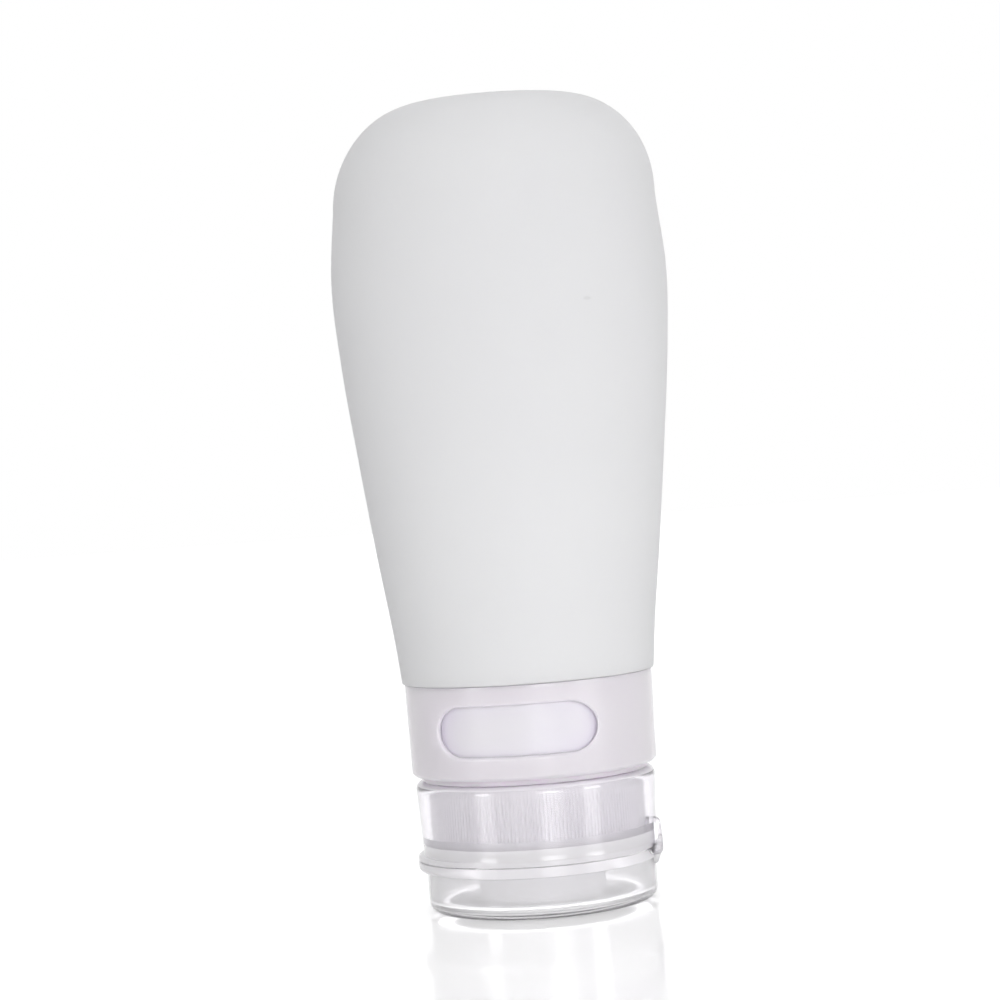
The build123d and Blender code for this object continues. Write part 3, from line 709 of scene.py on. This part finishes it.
ear = {"rootInset": 0.5, "rootDrop": 0.05, "underShares": (0.7, 0.98), "faceInset": 0.02,
       "underRounding": 0.8, "faceHeight": 1.6, "faceRounding": 1.6, "height": 4.3, "topInset": 0.12,
       "topRounding": 0.6, "topDrop": 0.4, "cornerRounding": 0.1}
knuckle = {"rootInset": 0.9, "rootDrop": 0.3, "crownShare": 0.8, "crownRounding": 0.6, "faceRounding": 0.8,
           "faceDrop": 0.4, "fairingDrop": 2.5, "fairingInset": 0.2, "fairingRounding": 0.5,
           "fairingRise": 0.3, "cornerRounding": 0.1}
slab = {"edge": 0.18, "pinEdge": 0.05, "edgeRows": 5, "pointStep": 0.3, "pinOverlap": 0.2, "pinPoints": 32}
knuckleFace = hinge["x"] + hinge["knuckle"]


def slabGrid(outline, low, high, edge):
    # A closed (x, z) outline carried along Y from low to high. Both ends draw in on a quarter turn and close
    # to the outline's middle.
    middle = outline.mean(0)
    size = np.linalg.norm(outline - middle, axis=1).mean()
    turn = np.linspace(0, pi / 2, slab["edgeRows"])
    inward, share = edge * (1 - np.cos(turn)), 1 - edge / size * (1 - np.sin(turn))
    y = np.concatenate([[low], low + inward, high - inward[::-1], [high]])
    scale = np.concatenate([[0], share, share[::-1], [0]])
    flat = middle + (outline[None] - middle) * scale[:, None, None]
    return np.stack([flat[..., 0], y[:, None] + 0 * flat[..., 0], flat[..., 1]], axis=-1)


def earOutline():
    # From the wall out under the pin, up the face and back to the wall above
    x, z, reach = hinge["x"], hinge["z"], hinge["knuckle"]
    back, top = cap["footRadius"] - ear["rootInset"], z + ear["height"]
    return spaced(roundedOutline([
        (back, z - ear["rootDrop"], ear["cornerRounding"]),
        (x - reach * ear["underShares"][0], z - reach * ear["underShares"][1], ear["cornerRounding"]),
        (knuckleFace - ear["faceInset"], z - reach, ear["underRounding"]),
        (knuckleFace, z + ear["faceHeight"], ear["faceRounding"]),
        (cap["topRadius"] - ear["topInset"], top, ear["topRounding"]),
        (back, top - ear["topDrop"], ear["cornerRounding"])]), slab["pointStep"])


def knuckleOutline():
    # From the lid's wall over the pin, down the face and along the fairing to the wall below
    x, z, reach = hinge["x"], hinge["z"], hinge["knuckle"]
    back, foot = cap["footRadius"] - knuckle["rootInset"], z - knuckle["fairingDrop"]
    return spaced(roundedOutline([
        (back, z - knuckle["rootDrop"], knuckle["cornerRounding"]),
        (x - reach * knuckle["crownShare"], z + reach, knuckle["crownRounding"]),
        (knuckleFace, z + reach, knuckle["faceRounding"]),
        (knuckleFace, z - knuckle["faceDrop"], knuckle["faceRounding"]),
        (cap["footRadius"] - knuckle["fairingInset"], foot, knuckle["fairingRounding"]),
        (back, foot + knuckle["fairingRise"], knuckle["cornerRounding"])]), slab["pointStep"])


earSpans = ((-earOuter, -earInner), (earInner, earOuter))
capEars = piece("capEars", [(slabGrid(earOutline(), low, high, slab["edge"]), False, True)
                            for low, high in earSpans], hazyPlastic, "cap")
for part in (capBase, capEars):
    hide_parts("cap_base")
circle = np.linspace(0, 2 * pi, slab["pinPoints"], endpoint=False)
pinOutline = np.stack([hinge["x"] + hinge["pin"] * np.cos(circle),
                       hinge["z"] + hinge["pin"] * np.sin(circle)], axis=1)
pinRoot, pinEnd = knuckleEnd - slab["pinOverlap"], knuckleEnd + hinge["pinLength"]
lidKnuckle = piece("lidKnuckle", [
    (slabGrid(knuckleOutline(), -knuckleEnd, knuckleEnd, slab["edge"]), False, True),
    (slabGrid(pinOutline, -pinEnd, -pinRoot, slab["pinEdge"]), False, True),
    (slabGrid(pinOutline, pinRoot, pinEnd, slab["pinEdge"]), False, True)], lidPlastic, "lid")
print("hinge built")


# Flip lid

lid = {"height": 6.8, "radius": 15.45, "draft": 0.25, "wall": 1.2, "floor": 1.3, "lipThickness": 1.3,
       "plug": 2.7, "plugBore": 1.8, "plugTop": 4.3, "guardInner": 7.6, "guardWall": 0.85, "guardTop": 5.0,
       "panelRadius": 12.6, "panelDepth": 0.12, "panelSlope": 0.3,
       "corner": 1.3, "wallRounding": 0.8, "lipRounding": 0.6, "ringRounding": 0.25, "rootRounding": 0.2,
       "plugRounding": 0.15, "lipTopRounding": 0.15, "mouthRounding": 0.12, "panelRounding": 0.05}
# How far each finish reaches past the wall, floor or ring that it belongs to
lidFinish = {"wall": 0.5, "panel": 0.2, "ring": 0.3, "floor": 0.1, "cornerShare": 0.8}


def lidOutline():
    # The lid's section, from the middle of its floor over the plug, the guard ring and the wall, and back
    # under the foot to the middle of the sunk panel
    lipFoot, lipRadius = lid["height"] - lid["lipThickness"], lid["radius"] + lip["reach"]
    mouthRadius, footRadius, floor = lid["radius"] - lid["wall"], lid["radius"] - lid["draft"], lid["floor"]
    guardOuter, root, ring = lid["guardInner"] + lid["guardWall"], lid["rootRounding"], lid["ringRounding"]
    return roundedOutline([
        (0, floor, 0), (lid["plugBore"], floor, root), (lid["plugBore"], lid["plugTop"], lid["plugRounding"]),
        (lid["plug"], lid["plugTop"], ring), (lid["plug"], floor, root), (lid["guardInner"], floor, root),
        (lid["guardInner"], lid["guardTop"], ring), (guardOuter, lid["guardTop"], ring),
        (guardOuter, floor, root), (mouthRadius - lid["draft"], floor, lid["wallRounding"]),
        (mouthRadius, lid["height"], lid["mouthRounding"]),
        (lipRadius, lid["height"], lid["lipTopRounding"]), (lipRadius, lipFoot, lid["lipRounding"]),
        (footRadius, lipFoot, root), (footRadius, 0, lid["corner"]),
        (lid["panelRadius"], 0, lid["panelRounding"]),
        (lid["panelRadius"] - lid["panelSlope"], lid["panelDepth"], lid["panelRounding"]),
        (0, lid["panelDepth"], 0)], closed=False)


lidGrid = lippedGrid(lidOutline(), lid["radius"] - lid["draft"], lid["draft"] / lid["height"], 0, 2 * around)
hingeRoom(lidGrid, hinge["swingRoom"], earInner - hinge["gap"], earOuter + hinge["gap"], -1)
flipLid = piece("flipLid", [(lidGrid, False, True)], lidPlastic, "lid")
# The hollow and the rounded foot are clear, the plug and the guard ring are cloudy, and the thick rim is
# hazier.
radius, height = faceMiddles(flipLid)
within = (radius < lid["radius"] - lidFinish["wall"]) & (height > lid["panelDepth"] + lidFinish["panel"])
roundedFoot = ~within & (radius > lid["panelRadius"]) & (height < lidFinish["cornerShare"] * lid["corner"])
ringReach = lid["guardInner"] + lid["guardWall"] + lidFinish["ring"]
onRings = within & (radius < ringReach) & (height > lid["floor"] + lidFinish["floor"])
onRim = ~within & (height > lid["height"] - lid["lipThickness"])
finishFaces(flipLid, [(within | roundedFoot, clearPlastic), (onRings, cloudyPlastic), (onRim, rimPlastic)])
for part in (flipLid, lidKnuckle):
    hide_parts("flip_lid")
print("lid built")


# Pieces kept from the CAD

keptPieces = {"cap_gasket": sealRubber, "slit_valve": sealRubber, "valve_retainer": hazyPlastic}
for node, material in keptPieces.items():
    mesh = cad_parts[node].data
    mesh.materials.clear()
    mesh.materials.append(material)
print("kept pieces finished")


# Studio, in metres

view = {"distance": 0.353, "height": 0.0564, "aimHeight": 0.0538, "axisShift": -0.0020, "roll": -4.2,
        "lens": 95.5, "sensor": 36, "nearest": 0.01}


def lookAt(place, target, roll=0.0):
    # Stands at the place with -Z towards the target and Y upwards, then rolled about the line of sight
    turn = (Vector(target) - Vector(place)).to_track_quat("-Z", "Y").to_matrix().to_4x4()
    return Matrix.Translation(place) @ turn @ Matrix.Rotation(radians(roll), 4, "Z")


camera = bpy.data.objects.new("camera", bpy.data.cameras.new("camera"))
camera.data.lens, camera.data.sensor_width = view["lens"], view["sensor"]
camera.data.clip_start = view["nearest"]
camera.matrix_world = lookAt((view["axisShift"], -view["distance"], view["height"]),
                             (view["axisShift"], 0, view["aimHeight"]), view["roll"])
bpy.context.scene.collection.objects.link(camera)
bpy.context.scene.camera = camera

# A weak fill lights the back, and gloss and clear plastic don't show it. The two strips are seen in gloss
# alone. seenIn says so for diffuse light, gloss and clear plastic.
softboxes = {
    "keyBox": {"place": (0.11, -0.5, 0.06), "target": (0, 0, -0.015), "size": (0.3, 0.36), "watts": 0.132,
               "spread": 34, "seenIn": (True, True, True)},
    "backFill": {"place": (0.1, 0.6, 0.12), "target": (0, 0, 0.05), "size": (0.4, 0.4), "watts": 0.16,
                 "spread": 60, "seenIn": (True, False, False)},
    "leftStrip": {"place": (-0.51, -0.39, 0.05), "target": (0, 0, 0.02), "size": (0.17, 0.5), "watts": 2.0,
                  "spread": 180, "seenIn": (False, True, False)},
    "rightStrip": {"place": (0.52, -0.38, 0.05), "target": (0, 0, 0.02), "size": (0.2, 0.5), "watts": 2.4,
                   "spread": 180, "seenIn": (False, True, False)},
}
for name, box in softboxes.items():
    source = bpy.data.lights.new(name, "AREA")
    source.shape, source.energy, source.spread = "RECTANGLE", box["watts"], radians(box["spread"])
    source.size, source.size_y = box["size"]
    lamp = bpy.data.objects.new(name, source)
    lamp.matrix_world = lookAt(box["place"], box["target"])
    bpy.context.scene.collection.objects.link(lamp)
    lamp.visible_diffuse, lamp.visible_glossy, lamp.visible_transmission = box["seenIn"]


def stageSheet(name, corners):
    # One face with its own new material, whose nodes are returned with it
    mesh = bpy.data.meshes.new(name)
    mesh.from_pydata(corners, [], [(0, 1, 2, 3)])
    sheet = bpy.data.objects.new(name, mesh)
    bpy.context.scene.collection.objects.link(sheet)
    material = bpy.data.materials.new(name)
    material.use_nodes = True
    mesh.materials.append(material)
    return sheet, material.node_tree


# A grey card behind the camera stands for the dim side of the room. Only diffuse light meets it.
room = {"halfWidth": 1.2, "away": 0.9, "foot": 0.001, "top": 1.2, "level": 0.5}
cardCorners = ((-1, room["foot"]), (1, room["foot"]), (1, room["top"]), (-1, room["top"]))
card, cardTree = stageSheet("roomCard", [(side * room["halfWidth"], -room["away"], height)
                                         for side, height in cardCorners])
card.visible_camera = card.visible_transmission = card.visible_glossy = False
cardGlow = addNode(cardTree, "ShaderNodeEmission", {"Strength": room["level"]})
cardTree.links.new(cardGlow.outputs["Emission"], cardTree.nodes["Material Output"].inputs["Surface"])

# The floor is pale, and glows by its own share for the camera, in gloss and behind clear plastic.
ground = {"halfSize": 3.0, "colour": (0.94, 0.94, 0.94, 1), "roughness": 0.08, "specular": 0.35,
          "glow": 0.25, "glowInGloss": 0.3, "glowBehindGlass": 0.8}
floorCorners = ((-1, -1), (1, -1), (1, 1), (-1, 1))
floor, floorTree = stageSheet("studioFloor", [(x * ground["halfSize"], y * ground["halfSize"], 0)
                                              for x, y in floorCorners])
path = addNode(floorTree, "ShaderNodeLightPath", {}).outputs
glow = mathNode(floorTree, "MULTIPLY", path["Is Camera Ray"], ground["glow"])
glow = mathNode(floorTree, "MULTIPLY_ADD", path["Is Glossy Ray"], ground["glowInGloss"], glow)
glow = mathNode(floorTree, "MULTIPLY_ADD", path["Is Transmission Ray"], ground["glowBehindGlass"], glow)
floorShader = floorTree.nodes["Principled BSDF"]
for socket, value in (("Base Color", ground["colour"]), ("Roughness", ground["roughness"]),
                      ("Specular IOR Level", ground["specular"]), ("Emission Color", (1, 1, 1, 1))):
    floorShader.inputs[socket].default_value = value
floorTree.links.new(glow, floorShader.inputs["Emission Strength"])

# The sky is white for the camera, in gloss and behind clear plastic. Its diffuse light is dimmer at both
# sides, so the bottle's edges fall off.
sky = {"shown": 1.0, "light": 0.82, "sideLight": 0.38, "sideStart": 0.5}
world = bpy.data.worlds.new("studioWorld")
bpy.context.scene.world = world
world.use_nodes = True
skyTree = world.node_tree
path = addNode(skyTree, "ShaderNodeLightPath", {}).outputs
shown = mathNode(skyTree, "MAXIMUM", path["Is Camera Ray"], path["Is Transmission Ray"])
shown = mathNode(skyTree, "MAXIMUM", shown, path["Is Glossy Ray"])
direction = addNode(skyTree, "ShaderNodeTexCoord", {}).outputs["Generated"]
sideways = addNode(skyTree, "ShaderNodeSeparateXYZ", {"Vector": direction}).outputs["X"]
light = addNode(skyTree, "ShaderNodeMapRange", {
    "Value": mathNode(skyTree, "ABSOLUTE", sideways), "From Min": sky["sideStart"],
    "To Min": sky["light"], "To Max": sky["sideLight"]}).outputs["Result"]
level = addNode(skyTree, "ShaderNodeMapRange", {"Value": shown, "To Min": light, "To Max": sky["shown"]})
background = skyTree.nodes["Background"]
background.inputs["Color"].default_value = (1, 1, 1, 1)
skyTree.links.new(level.outputs["Result"], background.inputs["Strength"])
bpy.context.scene.view_settings.view_transform = "Standard"
print("studio built")
